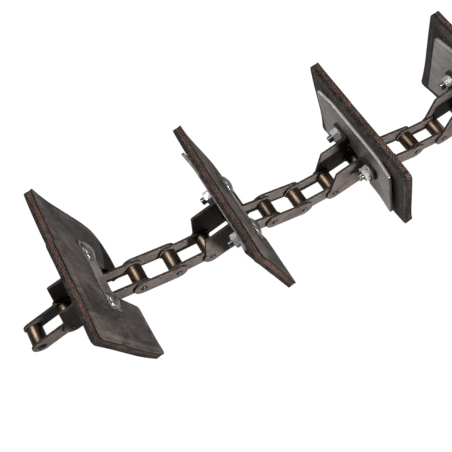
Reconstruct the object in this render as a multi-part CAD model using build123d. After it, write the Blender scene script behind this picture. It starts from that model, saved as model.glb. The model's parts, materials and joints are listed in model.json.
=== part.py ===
"""Flighted conveyor chain: fifteen links of agricultural roller chain with a rubber flight on every fourth link.

Frame: X along the chain, Y along the pins, Z up. The origin is the centre of the free bush at the tail end.
Each link is built about its own rear joint, lying along X, and then set at its rest tilt.
"""

import os
from math import cos, radians, sin, sqrt, tan

from build123d import *

# Chain, in millimetres
PITCH = 38.4
ROLLER_DIAMETER = 15.88
INNER_WIDTH = 19.05  # between the inner plates
INNER_PLATE_THICKNESS = 2.8
OUTER_PLATE_THICKNESS = 2.8
INNER_PLATE_HEIGHT = 19.0
OUTER_PLATE_HEIGHT = 20.0
PIN_DIAMETER = 6.92
BUSH_DIAMETER = 10.0
PIN_PROUD = 0.9  # how far a riveted pin end stands out of its plate
STAKE_DEPTH = 0.6  # the flat struck on each pin end
STAKE_OFFSET = 1.1  # from the pin's centre to that flat
PLATE_GAP = 0.15  # between an inner and an outer plate
PIN_CLEARANCE = 0.05  # pin in bush, on the radius
ROLLER_CLEARANCE = 0.08  # roller on bush, on the radius
ROLLER_SIDE_GAP = 0.2  # roller to inner plate, each side
ROLLER_CHAMFER = 0.5
PIN_CHAMFER = 0.4

# Attachment link: each outer plate rises into a wing that is bent outwards as a bolting flange
WING_REAR = 7.0  # from the rear joint forward to the wing's rear top corner
WING_TOP = 38.5  # above the joint line
WING_REAR_FOOT = 9.0  # how high the rear edge starts, above the joint line
FLANGE_FACE = 39.6  # from the rear joint forward to the flange's front face
FLANGE_BOTTOM = 18.5
FLANGE_REACH = 36.0  # from the chain's middle to the flange's outer end
BEND_RADIUS = 1.5  # inside the bend
WING_CORNER = 3.0
FLANGE_CORNER = 4.0

# Flight: backing plate, rubber pad, clamp strip
BACKING_THICKNESS = 3.0
BACKING_HALF_WIDTH = 60.0
BACKING_TOP = 72.5
BACKING_BOTTOM = -25.5
BACKING_FLAT = 37.0  # half width of the flat middle, before the ends lean back
BACKING_LEAN = 6.0  # degrees that each end leans back
BACKING_CORNER = 4.0
BACKING_NOTCH = 19.0  # half width
PAD_THICKNESS = 9.0
PAD_HALF_WIDTH = 76.5
PAD_TOP = 90.0
PAD_BOTTOM = -41.5
PAD_CORNER = 5.0
PAD_NOTCH = 17.5  # half width
NOTCH_TOP = 18.0  # above the joint line, clear of a link that folds towards the flight
NOTCH_CORNER = 4.0
STRIP_THICKNESS = 2.0
STRIP_HALF_LENGTH = 38.0
STRIP_HEIGHT = 20.0
STRIP_CORNER = 1.5

# Cup-head square-neck bolts, M8
BOLT_DIAMETER = 8.0
BOLT_LENGTH = 30.0  # under the head
BOLT_SPREAD = 27.0  # from the chain's middle to each bolt
BOLT_HEIGHT = 28.5
HEAD_DIAMETER = 20.5
HEAD_HEIGHT = 4.6
HEAD_RIM = 1.0
NECK_LENGTH = 4.5
HOLE_CLEARANCE = 0.25  # on the radius, or on each side of the square neck
NUT_ACROSS_FLATS = 13.0
NUT_HEIGHT = 6.5
WASHER_DIAMETER = 16.0
WASHER_THICKNESS = 1.6
BOLT_CHAMFER = 0.8

# The chain as it rests on its flights: the tilt of each link, nose up positive, in degrees
REST_TILT = [24.0, 19.3, -9.0, -8.9, -1.5, 22.7, -11.4, -10.4, 4.5, 19.3, -13.3, -7.3, -0.4, 17.3, -21.0]
ATTACHMENT_EVERY = 4  # links 1, 5, 9 and 13 carry a flight

# Worked out from the values above
roller_radius = ROLLER_DIAMETER / 2
pin_radius = PIN_DIAMETER / 2
bush_radius = BUSH_DIAMETER / 2
bolt_radius = BOLT_DIAMETER / 2
inner_face = INNER_WIDTH / 2
inner_back = inner_face + INNER_PLATE_THICKNESS
outer_face = inner_back + PLATE_GAP
outer_back = outer_face + OUTER_PLATE_THICKNESS
pad_rear = FLANGE_FACE + BACKING_THICKNESS
strip_rear = pad_rear + PAD_THICKNESS
strip_front = strip_rear + STRIP_THICKNESS
washer_front = FLANGE_FACE - OUTER_PLATE_THICKNESS
nut_front = washer_front - WASHER_THICKNESS


def across(profile, y_start, y_end):
    """Carries a profile drawn in X and Z from one Y to another."""
    plane = Plane((0, y_start, 0), x_dir=(1, 0, 0), z_dir=(0, -1, 0))
    return extrude(plane * profile, amount=y_start - y_end)


def along(profile, x_start, x_end):
    """Carries a profile drawn in Y and Z from one X to another."""
    plane = Plane((x_start, 0, 0), x_dir=(0, 1, 0), z_dir=(1, 0, 0))
    return extrude(plane * profile, amount=x_end - x_start)


def both_sides(shape):
    """A shape and its mirror image on the chain's other side."""
    return [shape, mirror(shape, about=Plane.XZ)]


def joint_holes(radius):
    """The two joint holes of a plate, as a sketch."""
    return Circle(radius) + Pos(PITCH, 0) * Circle(radius)


def straight_plate(height):
    """A straight-sided link plate with round ends, from joint to joint."""
    return Pos(PITCH / 2, 0) * SlotCenterToCenter(PITCH, height)


def inner_link():
    """Two inner plates, and the two bushes pressed into them."""
    profile = straight_plate(INNER_PLATE_HEIGHT) - joint_holes(bush_radius)
    plates = both_sides(across(profile, inner_face, inner_back))
    ring = Circle(bush_radius) - Circle(pin_radius + PIN_CLEARANCE)
    bushes = [Pos(x, 0, 0) * across(ring, -inner_back, inner_back) for x in (0, PITCH)]
    return plates + bushes


def roller():
    """A roller that turns freely on its bush, centred on the origin."""
    half = inner_face - ROLLER_SIDE_GAP
    ring = Circle(roller_radius) - Circle(bush_radius + ROLLER_CLEARANCE)
    body = across(ring, -half, half)
    rims = body.edges().filter_by(GeomType.CIRCLE).filter_by(lambda e: abs(e.radius - roller_radius) < 1e-4)
    return chamfer(rims, ROLLER_CHAMFER)


def pin():
    """A riveted pin on the origin's axis, with a flat struck on half of each end."""
    end = outer_back + PIN_PROUD
    body = across(Circle(pin_radius), -end, end)
    rims = body.edges().filter_by(GeomType.CIRCLE)
    body = chamfer(rims, PIN_CHAMFER)
    width = PIN_DIAMETER + 1
    flat = Pos(STAKE_OFFSET + width / 2, 0) * Rectangle(width, width)
    for stake in both_sides(across(flat, end - STAKE_DEPTH, end + 1)):
        body -= stake
    return body


def link_pins():
    """The two pins of an outer or attachment link."""
    return [Pos(x, 0, 0) * pin() for x in (0, PITCH)]


def outer_plates():
    """The two plain plates of an outer link."""
    profile = straight_plate(OUTER_PLATE_HEIGHT) - joint_holes(pin_radius)
    return both_sides(across(profile, outer_face, outer_back))


def wing_outline():
    """The upright wing of an attachment plate, seen from the side, down to the link plate that it grows from."""
    outer_bend = BEND_RADIUS + OUTER_PLATE_THICKNESS
    front = FLANGE_FACE - outer_bend
    start = -sqrt((OUTER_PLATE_HEIGHT / 2) ** 2 - WING_REAR_FOOT**2)
    outline = Polyline(
        (start, WING_REAR_FOOT), (WING_REAR, WING_TOP), (front, WING_TOP), (front, 0), (0, 0), close=True
    )
    wing = make_face(outline)
    corner = wing.vertices().sort_by_distance((WING_REAR, WING_TOP))[0]
    return fillet(corner, WING_CORNER)


def flange():
    """The bend and the flange that stands out from the wing, between its lower and upper edges."""
    outer_bend = BEND_RADIUS + OUTER_PLATE_THICKNESS
    root = FLANGE_FACE - 2 * outer_bend
    web = Pos((root + FLANGE_FACE) / 2, (outer_face + outer_back) / 2)
    web = web * Rectangle(FLANGE_FACE - root, OUTER_PLATE_THICKNESS)
    leaf = Pos(washer_front + OUTER_PLATE_THICKNESS / 2, (outer_face + FLANGE_REACH) / 2)
    leaf = leaf * Rectangle(OUTER_PLATE_THICKNESS, FLANGE_REACH - outer_face)
    section = web + leaf
    outside = section.vertices().sort_by_distance((FLANGE_FACE, outer_face))[0]
    section = fillet(outside, outer_bend)
    inside = section.vertices().sort_by_distance((washer_front, outer_back))[0]
    section = fillet(inside, BEND_RADIUS)
    body = extrude(Pos(0, 0, FLANGE_BOTTOM) * section, amount=WING_TOP - FLANGE_BOTTOM)
    tips = body.edges().filter_by(Axis.X).group_by(Axis.Y)[-1]
    body = fillet(tips, FLANGE_CORNER)
    return body - along(Pos(BOLT_SPREAD, BOLT_HEIGHT) * Circle(bolt_radius + HOLE_CLEARANCE), 0, FLANGE_FACE + 1)


def attachment_plates():
    """The two bent plates that carry a flight."""
    side = straight_plate(OUTER_PLATE_HEIGHT) + wing_outline() - joint_holes(pin_radius)
    return both_sides(across(side, outer_face, outer_back) + flange())


def flight_outline(half_width, bottom, top, corner, notch):
    """A flight plate seen along the chain: a rectangle with round corners, notched over the chain."""
    outline = Pos(0, (top + bottom) / 2) * RectangleRounded(2 * half_width, top - bottom, corner)
    height = NOTCH_TOP - bottom
    slot = Pos(0, bottom + height / 2 - NOTCH_CORNER) * Rectangle(2 * notch, height + 2 * NOTCH_CORNER)
    slot = fillet(slot.vertices().group_by(Axis.Y)[-1], NOTCH_CORNER)
    return outline - slot


def bolt_holes(shape):
    """One shape at each bolt's place in the plane of the flight, as a sketch."""
    return Pos(-BOLT_SPREAD, BOLT_HEIGHT) * shape + Pos(BOLT_SPREAD, BOLT_HEIGHT) * shape


def backing_plate():
    """The steel plate behind the rubber. Its ends lean back, away from the pad."""
    retreat = (BACKING_HALF_WIDTH - BACKING_FLAT) * tan(radians(BACKING_LEAN))
    rear = [
        (FLANGE_FACE - retreat, BACKING_HALF_WIDTH),
        (FLANGE_FACE, BACKING_FLAT),
        (FLANGE_FACE, -BACKING_FLAT),
        (FLANGE_FACE - retreat, -BACKING_HALF_WIDTH),
    ]
    front = [(x + BACKING_THICKNESS, y) for x, y in reversed(rear)]
    section = Pos(0, 0, BACKING_BOTTOM) * make_face(Polyline(*rear, *front, close=True))
    bent = extrude(section, amount=BACKING_TOP - BACKING_BOTTOM)
    outline = flight_outline(BACKING_HALF_WIDTH, BACKING_BOTTOM, BACKING_TOP, BACKING_CORNER, BACKING_NOTCH)
    outline -= bolt_holes(Circle(bolt_radius + HOLE_CLEARANCE))
    return bent & along(outline, FLANGE_FACE - retreat - 1, pad_rear + 1)


def rubber_pad():
    """The rubber flight, with holes wide enough for the bolts' square necks."""
    neck_hole = sqrt(2) * (bolt_radius + HOLE_CLEARANCE)
    outline = flight_outline(PAD_HALF_WIDTH, PAD_BOTTOM, PAD_TOP, PAD_CORNER, PAD_NOTCH)
    return along(outline - bolt_holes(Circle(neck_hole)), pad_rear, strip_rear)


def clamp_strip():
    """The steel strip under the bolt heads, with square holes."""
    outline = Pos(0, BOLT_HEIGHT) * RectangleRounded(2 * STRIP_HALF_LENGTH, STRIP_HEIGHT, STRIP_CORNER)
    side = BOLT_DIAMETER + 2 * HOLE_CLEARANCE
    return along(outline - bolt_holes(Rectangle(side, side)), strip_rear, strip_front)


def bolt():
    """A cup-head bolt along X, head foremost, with a square neck."""
    crown = (HEAD_DIAMETER / 2) ** 2 / (2 * (HEAD_HEIGHT - HEAD_RIM)) + (HEAD_HEIGHT - HEAD_RIM) / 2
    peak = strip_front + HEAD_HEIGHT
    rim = Cylinder(HEAD_DIAMETER / 2, HEAD_HEIGHT, rotation=(0, 90, 0))
    head = Pos(strip_front + HEAD_HEIGHT / 2, 0, 0) * rim & Pos(peak - crown, 0, 0) * Sphere(crown)
    neck = along(Rectangle(BOLT_DIAMETER, BOLT_DIAMETER), strip_front - NECK_LENGTH, strip_front)
    shank = along(Circle(bolt_radius), strip_front - BOLT_LENGTH, strip_front)
    end = shank.edges().filter_by(GeomType.CIRCLE).sort_by(Axis.X)[0]
    return head + neck + chamfer(end, BOLT_CHAMFER)


def nut():
    """A hexagon nut on the bolt, its corners turned down at both ends."""
    corner_radius = NUT_ACROSS_FLATS / sqrt(3)
    hexagon = RegularPolygon(corner_radius, 6) - Circle(bolt_radius)
    turned = along(Circle(corner_radius), nut_front - NUT_HEIGHT, nut_front)
    turned = chamfer(turned.edges().filter_by(GeomType.CIRCLE), corner_radius - NUT_ACROSS_FLATS / 2)
    return along(hexagon, nut_front - NUT_HEIGHT, nut_front) & turned


def washer():
    """A plain washer between the nut and the flange."""
    ring = Circle(WASHER_DIAMETER / 2) - Circle(bolt_radius + HOLE_CLEARANCE)
    return along(ring, nut_front, washer_front)


def at_bolts(shapes):
    """Copies of some shapes at both bolts."""
    return [Pos(0, y, BOLT_HEIGHT) * shape for y in (-BOLT_SPREAD, BOLT_SPREAD) for shape in shapes]


def joint_positions():
    """The X and Z of every joint along the chain at rest, from the tail."""
    places = [(0.0, 0.0)]
    for tilt in REST_TILT:
        x, z = places[-1]
        places.append((x + PITCH * cos(radians(tilt)), z + PITCH * sin(radians(tilt))))
    return places


def write(name, shapes, place):
    """Writes one node: its solids, set at their link's place."""
    solids = [solid for shape in shapes for solid in (place * shape).solids()]
    export_step(solids[0] if len(solids) == 1 else Compound(children=solids), f"parts/{name}.step")


def write_inner_link(number, place, first_joint):
    """An inner link, and its two rollers, which turn on their own."""
    write(f"inner_link_{number:02d}", inner_link(), place)
    for end in (0, 1):
        write(f"roller_{first_joint + end:02d}", [roller()], place * Pos(end * PITCH, 0, 0))


def write_outer_link(number, place):
    """A plain outer link: its plates and its riveted pins."""
    write(f"outer_plates_{number:02d}", outer_plates(), place)
    write(f"pins_{number:02d}", link_pins(), place)


def write_attachment_link(number, place):
    """An attachment link, with its flight and fasteners."""
    write(f"attachment_plates_{number:02d}", attachment_plates(), place)
    write(f"pins_{number:02d}", link_pins(), place)
    write(f"backing_plate_{number:02d}", [backing_plate()], place)
    write(f"rubber_pad_{number:02d}", [rubber_pad()], place)
    write(f"clamp_strip_{number:02d}", [clamp_strip()], place)
    write(f"bolts_{number:02d}", at_bolts([bolt()]), place)
    write(f"nuts_{number:02d}", at_bolts([nut(), washer()]), place)


os.makedirs("parts", exist_ok=True)
joints = joint_positions()
for index, tilt in enumerate(REST_TILT):
    x, z = joints[index]
    link_place = Location((x, 0, z), (0, -tilt, 0))
    if index % 2 == 0:
        write_inner_link(index, link_place, index)
    elif index % ATTACHMENT_EVERY == 1:
        write_attachment_link(index, link_place)
    else:
        write_outer_link(index, link_place)
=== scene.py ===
# %% [markdown]
# # A flighted conveyor chain
#
# Agricultural roller chain drags grain, wood chips or silage along a trough. Every fourth
# link has its side plates bent out into feet, and on those feet stands a flight: a steel
# plate with a thick pad of rubber cut from old belting, clamped by a narrow strip and two
# cup-head bolts. The engineering model is already packed with every joint in its place.
# Here each part is made again with the rounded edges, threads, plies and worn surfaces that
# a real one has, and it rides on the body that carries it.

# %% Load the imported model
import json

import bmesh
import bpy
import numpy as np
from mathutils import Matrix, Vector
from mathutils.geometry import delaunay_2d_cdt


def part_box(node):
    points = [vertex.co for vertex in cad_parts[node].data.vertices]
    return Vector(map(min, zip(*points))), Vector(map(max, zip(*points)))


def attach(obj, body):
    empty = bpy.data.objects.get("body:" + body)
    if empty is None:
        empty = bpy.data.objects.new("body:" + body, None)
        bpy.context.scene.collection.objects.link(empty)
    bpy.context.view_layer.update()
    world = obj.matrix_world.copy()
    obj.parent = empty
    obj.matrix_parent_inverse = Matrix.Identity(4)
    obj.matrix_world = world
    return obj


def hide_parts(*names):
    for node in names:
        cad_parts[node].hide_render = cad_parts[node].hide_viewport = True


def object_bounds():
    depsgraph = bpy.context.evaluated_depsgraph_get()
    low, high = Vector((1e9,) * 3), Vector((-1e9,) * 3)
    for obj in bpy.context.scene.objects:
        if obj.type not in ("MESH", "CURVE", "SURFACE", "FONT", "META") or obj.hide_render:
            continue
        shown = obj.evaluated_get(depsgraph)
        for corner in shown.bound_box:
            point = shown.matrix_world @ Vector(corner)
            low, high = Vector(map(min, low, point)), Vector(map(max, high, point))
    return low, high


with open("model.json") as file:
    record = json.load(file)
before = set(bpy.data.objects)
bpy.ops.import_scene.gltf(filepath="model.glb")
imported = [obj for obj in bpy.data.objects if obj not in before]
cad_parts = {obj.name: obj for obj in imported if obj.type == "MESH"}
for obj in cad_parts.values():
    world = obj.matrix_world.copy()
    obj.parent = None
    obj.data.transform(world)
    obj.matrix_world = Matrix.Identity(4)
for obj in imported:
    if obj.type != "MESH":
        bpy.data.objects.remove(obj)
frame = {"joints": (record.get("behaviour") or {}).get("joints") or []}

cad_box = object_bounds()
print("from", cad_box[0], "to", cad_box[1])

# %% [markdown]
# ## Where every link lies
#
# The rollers turn about the chain's joints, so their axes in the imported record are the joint
# centres. Link number n runs from joint n to joint n + 1, and its tilt is the angle of that
# line. All shapes below are worked out in millimetres about a link's own rear joint, with X
# along the link and Z up, and one function carries them to their link.

# %% Links and the way from a link to the chain
MM = 0.001
joint_places = {joint["name"]: joint["pos_m"] for joint in frame["joints"]}
spins = sorted(name for name in joint_places if name.startswith("roller_spin"))
centres = np.array([joint_places[name] for name in spins]) / MM
spans = np.diff(centres, axis=0)
tilts = np.arctan2(spans[:, 2], spans[:, 0])
PITCH = float(np.hypot(spans[0, 0], spans[0, 2]))
LINKS = len(tilts)
FLIGHTS = range(1, LINKS, 4)
UPPER_FLIGHTS = FLIGHTS[2:]
print(f"{LINKS} links of {PITCH:.1f} mm, tilts {np.degrees(tilts).round(1)}")


def on_link(points, link, along):
    """Carries a link's own points to their place in the chain.

    (x, y, z) goes to the joint + (x + along) times the link's direction + z times its
    upright, and y stays."""
    c, s = np.cos(tilts[link]), np.sin(tilts[link])
    x, y, z = points[:, 0] + along, points[:, 1], points[:, 2]
    return np.stack([x * c - z * s, y, x * s + z * c], axis=1) + centres[link]


# %% [markdown]
# ## Turning arrays into pieces
#
# A shape arrives as an array of points, a list of faces and its marks. Three marks travel
# with each point, for the finishes to read: `grain`, where it lies in the link; `edge`, its
# place on the cut edge; and a third for wear and painted light, above 0 where the spot is
# rubbed or painted paler as a sheen or highlight, and below 0 where it is painted darker as
# shade, with some grease. Working on whole arrays keeps each step short: to mirror, turn or
# join shapes is a line or two, and Blender sees only the end result.


# %% Shapes as arrays
def shape(points, faces, edge, smooth=True):
    """A shape as a dictionary of arrays: its points, faces and marks.

    edge holds, for each point, the run along the edge, the depth, and 1 on the cut."""
    points = np.asarray(points, float)
    return {
        "points": points,
        "faces": faces,
        "edge": np.asarray(edge, float),
        "wear_and_painted_light": np.zeros(len(points)),
        "smooth": np.full(len(faces), smooth),
    }


def join(shapes):
    """One shape from several: each one's face numbers start after the last one's points."""
    starts = np.cumsum([0] + [len(s["points"]) for s in shapes]).tolist()
    faces = [
        tuple(corner + start for corner in face)
        for part, start in zip(shapes, starts)
        for face in part["faces"]
    ]
    arrays = ("points", "edge", "wear_and_painted_light", "smooth")
    return {"faces": faces, **{key: np.concatenate([s[key] for s in shapes]) for key in arrays}}


def moved(part, shift=(0, 0, 0), turn=0.0, flip_y=False):
    """A copy of a shape, turned about the X axis, shifted, and mirrored to -Y if asked.

    The turn takes y to y cos(turn) - z sin(turn), and z to y sin(turn) + z cos(turn)."""
    x, y, z = part["points"].T
    c, s = np.cos(turn), np.sin(turn)
    y, z = y * c - z * s + shift[1], y * s + z * c + shift[2]
    return {**part, "points": np.stack([x + shift[0], -y if flip_y else y, z], axis=1)}


def both_sides(part):
    """A shape at +Y and its mirror image at -Y."""
    return join([part, moved(part, flip_y=True)])


def with_cut(part, cut):
    """A copy of a shape with the last number of its edge mark set anew, to 1 where cut is true."""
    cut = np.broadcast_to(np.asarray(cut, float), len(part["points"]))
    return {**part, "edge": np.column_stack([part["edge"][:, :2], cut])}


def ramp(values, start, end):
    """0 before start, 1 past end, and evenly between them. start may be the larger one."""
    return np.clip((values - start) / (end - start), 0, 1)


# %% [markdown]
# ### From a shape to a piece
#
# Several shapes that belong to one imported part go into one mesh. The finished object stays at
# the origin with its place in its vertices, so patterns laid out in its own space stay put
# when the body moves. Doubled points at poles and seams are merged, and the faces are turned
# outwards while every shell is still closed.

# %% From a shape to a piece
# how far a pattern moves on from link to link, and what share of that from end to end of one
GRAIN_STEP, GRAIN_SHARE = np.array([0.731, 0.377, 0.519]), 0.31
# points closer than this, in metres, become one
WELD = 2e-6


def close_up(mesh):
    """Merges a mesh's doubled points and turns its faces outwards."""
    work = bmesh.new()
    work.from_mesh(mesh)
    bmesh.ops.remove_doubles(work, verts=work.verts, dist=WELD)
    bmesh.ops.recalc_face_normals(work, faces=work.faces)
    open_edges = sum(len(edge.link_faces) != 2 for edge in work.edges)
    if open_edges:
        print(f"{mesh.name} has {open_edges} open edges")
    work.to_mesh(mesh)
    work.free()


def make_piece(kind, part, number, finish, stands_for, body="link"):
    """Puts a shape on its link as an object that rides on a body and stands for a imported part.

    All three names end in the same number. Only the last roller's is past the last link's,
    so it lies one pitch along that link."""
    name = f"{kind}_{number:02d}"
    link = min(number, LINKS - 1)
    along = PITCH * (number - link)
    mesh = bpy.data.meshes.new(name)
    mesh.from_pydata((on_link(part["points"], link, along) * MM).tolist(), [], part["faces"])
    mesh.polygons.foreach_set("use_smooth", part["smooth"])
    grain = part["points"] * MM + GRAIN_STEP * (link + 1 + GRAIN_SHARE * along / PITCH)
    for mark, values in (("grain", grain), ("edge", part["edge"] * [MM, MM, 1])):
        vectors = mesh.attributes.new(mark, "FLOAT_VECTOR", "POINT").data
        vectors.foreach_set("vector", values.astype(np.float32).ravel())
    wear_and_painted_light = mesh.attributes.new("wear_and_painted_light", "FLOAT", "POINT").data
    wear_and_painted_light.foreach_set("value", part["wear_and_painted_light"].astype(np.float32))
    mesh.materials.append(finish)
    close_up(mesh)
    piece = bpy.data.objects.new(name, mesh)
    bpy.context.scene.collection.objects.link(piece)
    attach(piece, f"{body}_{number:02d}")
    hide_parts(f"{stands_for}_{number:02d}")


# %% [markdown]
# ## Two kinds of surface
#
# Almost every part of this chain is either turned on a lathe or stamped from plate. A turned
# part is a profile swung round an axis: a grid of angle by place on the profile. A stamped
# plate is an outline carried through its thickness, with both rims rounded as the press and
# the tumbling drum leave them: a grid of place round the outline by place across the rim. The
# flat faces are filled with triangles between the outline and its holes.


# %% Grids and turned parts
def grid_faces(rows, columns, wrap_rows=False):
    """Four-cornered faces between neighbours of a grid of points, numbered row by row.

    Each row is a closed ring. wrap_rows joins the last row to the first as well."""
    first_rows = np.arange(rows if wrap_rows else rows - 1)
    r, c = np.meshgrid(first_rows, np.arange(columns), indexing="ij")
    r2, c2 = (r + 1) % rows, (c + 1) % columns
    quads = [r * columns + c, r * columns + c2, r2 * columns + c2, r2 * columns + c]
    return [tuple(quad) for quad in np.stack(quads, axis=-1).reshape(-1, 4).tolist()]


def turned(profile, steps, closed=False, cut_by=None):
    """Swings a profile of (radius, height) round the Y axis: x = r cos a, y = height, z = r sin a.

    closed joins the profile's ends, as on a ring. cut_by may change radius and height by angle."""
    profile = np.asarray(profile, float)
    a = np.linspace(0, 2 * np.pi, steps, endpoint=False)
    r = np.repeat(profile[:, :1], steps, axis=1)
    y = np.repeat(profile[:, 1:2], steps, axis=1)
    if cut_by is not None:
        r, y = cut_by(r, y, a[None, :])
    points = np.stack([r * np.cos(a), y, r * np.sin(a)], axis=-1).reshape(-1, 3)
    length = np.concatenate([[0], np.cumsum(np.hypot(*np.diff(profile, axis=0).T))])
    edge = np.stack(np.broadcast_arrays(length[:, None], r, 0 * r), axis=-1).reshape(-1, 3)
    return shape(points, grid_faces(len(profile), steps, wrap_rows=closed), edge)


# %% [markdown]
# ### Paths with round corners
#
# A stamped outline is a few corners and the radius of each, just as it is dimensioned on a
# drawing. One function swings the corners round, and another sets extra points on long
# sides, so that the triangles of the fill stay well shaped.

# %% Outlines and holes
CIRCLE_STEPS = 40
LEAST_RADIUS, LEAST_GAP = 1e-3, 0.02


def rounded_path(corners, radii, steps):
    """A closed path whose corners are swung round, each into an arc that touches both its sides.

    The arc starts radius * tan(half the turn) before the corner. At angle a it has gone
    radius * sin(a) ahead and radius * (1 - cos(a)) aside."""
    corners = np.asarray(corners, float)
    radii = np.maximum(np.broadcast_to(np.asarray(radii, float), len(corners)), LEAST_RADIUS)
    into = corners - np.roll(corners, 1, axis=0)
    into /= np.linalg.norm(into, axis=1, keepdims=True)
    out = np.roll(into, -1, axis=0)
    turn = np.arctan2(into[:, 0] * out[:, 1] - into[:, 1] * out[:, 0], (into * out).sum(axis=1))
    start = corners - into * (radii * np.tan(np.abs(turn) / 2))[:, None]
    swing = turn[:, None] * np.linspace(0, 1, steps)
    ahead = radii[:, None] * np.sin(np.abs(swing))
    aside = radii[:, None] * (1 - np.cos(swing)) * np.sign(turn)[:, None]
    left = np.stack([-into[:, 1], into[:, 0]], axis=1)
    path = start[:, None] + into[:, None] * ahead[..., None] + left[:, None] * aside[..., None]
    path = path.reshape(-1, 2)
    return path[np.linalg.norm(path - np.roll(path, 1, axis=0), axis=1) > LEAST_GAP]


def circle(radius, x=0.0, y=0.0):
    """Points round a circle: x + r cos a, y + r sin a."""
    a = np.linspace(0, 2 * np.pi, CIRCLE_STEPS, endpoint=False)
    return np.stack([x + radius * np.cos(a), y + radius * np.sin(a)], axis=1)


def divided(path, longest):
    """A closed path with extra points spread evenly on every side longer than the given length."""
    following = np.roll(path, -1, axis=0)
    lengths = np.linalg.norm(following - path, axis=1)
    counts = np.maximum(np.ceil(lengths / longest).astype(int), 1)
    first = np.repeat(np.arange(len(path)), counts)
    share = np.arange(len(first)) - np.repeat(np.cumsum(counts) - counts, counts)
    share = (share / counts[first])[:, None]
    return path[first] * (1 - share) + following[first] * share


# %% [markdown]
# ### The cut edge of a plate
#
# Rounding a rim means that the outline draws in a little on the last fraction of the
# thickness. Each point moves along the bisector of its two sides, by the quarter circle's own
# inset at that depth. Holes draw outwards by the same rule, because they run the other way.

# %% Walls with rounded rims
RIM_STEPS = 3
SHARPEST = 0.5


def offset(path, distance):
    """A closed path moved to its left, each point along the bisector of its two sides.

    A point goes distance / cos(half the turn), and never more than distance / SHARPEST."""
    into = path - np.roll(path, 1, axis=0)
    into /= np.linalg.norm(into, axis=1, keepdims=True)
    out = np.roll(into, -1, axis=0)
    left = np.stack([-(into + out)[:, 1], (into + out)[:, 0]], axis=1)
    left /= np.linalg.norm(left, axis=1, keepdims=True)
    cosine = (left * np.stack([-into[:, 1], into[:, 0]], axis=1)).sum(axis=1)
    return path + left * (distance / np.maximum(cosine, SHARPEST))[:, None]


def wall(path, thickness, rim, levels):
    """A path carried through the thickness, with a quarter circle at each face: points and marks.

    At angle a the rim's depth is rim (1 - cos a) and its inset is rim (1 - sin a). levels are
    pairs of a depth as a share of the thickness, and how far the edge steps in there."""
    a = np.linspace(0, np.pi / 2, RIM_STEPS + 1)
    inset, depth = rim * (1 - np.sin(a)), rim * (1 - np.cos(a))
    middle = np.array(levels, float).reshape(-1, 2)
    insets = np.concatenate([inset, middle[:, 1], inset[::-1]])
    depths = np.concatenate([depth, middle[:, 0] * thickness, (thickness - depth)[::-1]])
    rows = np.stack([np.insert(offset(path, i), 2, d, axis=1) for i, d in zip(insets, depths)])
    run = np.concatenate([[0], np.cumsum(np.linalg.norm(np.diff(path, axis=0), axis=1))])
    cut = np.clip(1 - insets / rim, 0, 1)
    cut[len(inset) : len(inset) + len(middle)] = 1
    edge = np.stack(np.broadcast_arrays(run[None, :], depths[:, None], cut[:, None]), axis=-1)
    return rows, edge


# %% [markdown]
# ### The flat faces of a plate
#
# A plate's face is the field between its outline and its holes. Blender's own triangulation
# fills it, together with any extra points inside that a later fold or bow needs. It fills the
# holes as well, so triangles whose middle lies in a hole are taken out again.

# %% Faces and whole plates
TRIANGLES_INSIDE, MERGE = 1, 1e-5


def within(loop, places):
    """Which places lie inside a closed loop.

    A line that goes right from such a place crosses the loop an odd number of times."""
    a, b = loop, np.roll(loop, -1, axis=0)
    x, z = places[:, None, 0], places[:, None, 1]
    crosses = (a[:, 1] > z) != (b[:, 1] > z)
    slope = (b[:, 0] - a[:, 0]) / np.where(crosses, b[:, 1] - a[:, 1], 1)
    return (crosses & (x < a[:, 0] + (z - a[:, 1]) * slope)).sum(axis=1) % 2 == 1


def fill(loops, inner):
    """Triangles between the first loop and the others, through the inner points.

    The other loops stay open as holes, and points that no triangle uses are left out."""
    points = np.concatenate(loops + ([inner] if len(inner) else []))
    sides, start = [], 0
    for loop in loops:
        numbers = list(range(start, start + len(loop)))
        sides += zip(numbers, numbers[1:] + numbers[:1])
        start += len(loop)
    corners = [Vector(p) for p in points.tolist()]
    found = delaunay_2d_cdt(corners, sides, [], TRIANGLES_INSIDE, MERGE)
    points = np.array([tuple(v) for v in found[0]])
    triangles = np.array([tuple(f) for f in found[2]])
    for hole in loops[1:]:
        triangles = triangles[~within(hole, points[triangles].mean(axis=1))]
    used, renumbered = np.unique(triangles, return_inverse=True)
    return points[used], renumbered.reshape(triangles.shape).tolist()


def plate(outline, holes, thickness, rim, levels=(), inner=(), smooth_faces=False):
    """A flat plate as points (s, z, depth): the walls of its outline and holes, and both faces.

    The outline runs anticlockwise, and only its wall steps in at the levels."""
    shapes, near, far = [], [], []
    for path in [outline] + [hole[::-1] for hole in holes]:
        rows, edge = wall(path, thickness, rim, levels if path is outline else ())
        faces = grid_faces(len(rows), len(path))
        shapes.append(shape(rows.reshape(-1, 3), faces, edge.reshape(-1, 3)))
        near.append(rows[0][:, :2])
        far.append(rows[-1][:, :2])
    inner = np.asarray(inner, float).reshape(-1, 2)
    for loops, depth in ((near, 0.0), (far, thickness)):
        flat, triangles = fill(loops, inner)
        edge = np.tile([0.0, depth, 0.0], (len(flat), 1))
        shapes.append(shape(np.insert(flat, 2, depth, axis=1), triangles, edge, smooth_faces))
    return join(shapes)


def upright(part, y_start):
    """Stands a plate up along the chain: s becomes X, and the depth becomes Y from a start."""
    s, z, t = part["points"].T
    return {**part, "points": np.stack([s, y_start + t, z], axis=1)}


# %% [markdown]
# ## Finishes: a few words for the node trees
#
# Every finish is worked out by nodes from the marks on the mesh, so it needs no picture. The
# helpers below add a node, set its values, and join it to the sockets that feed it. A pattern
# read from `grain` lies the same way on every link, but starts at another place on each.


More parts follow.
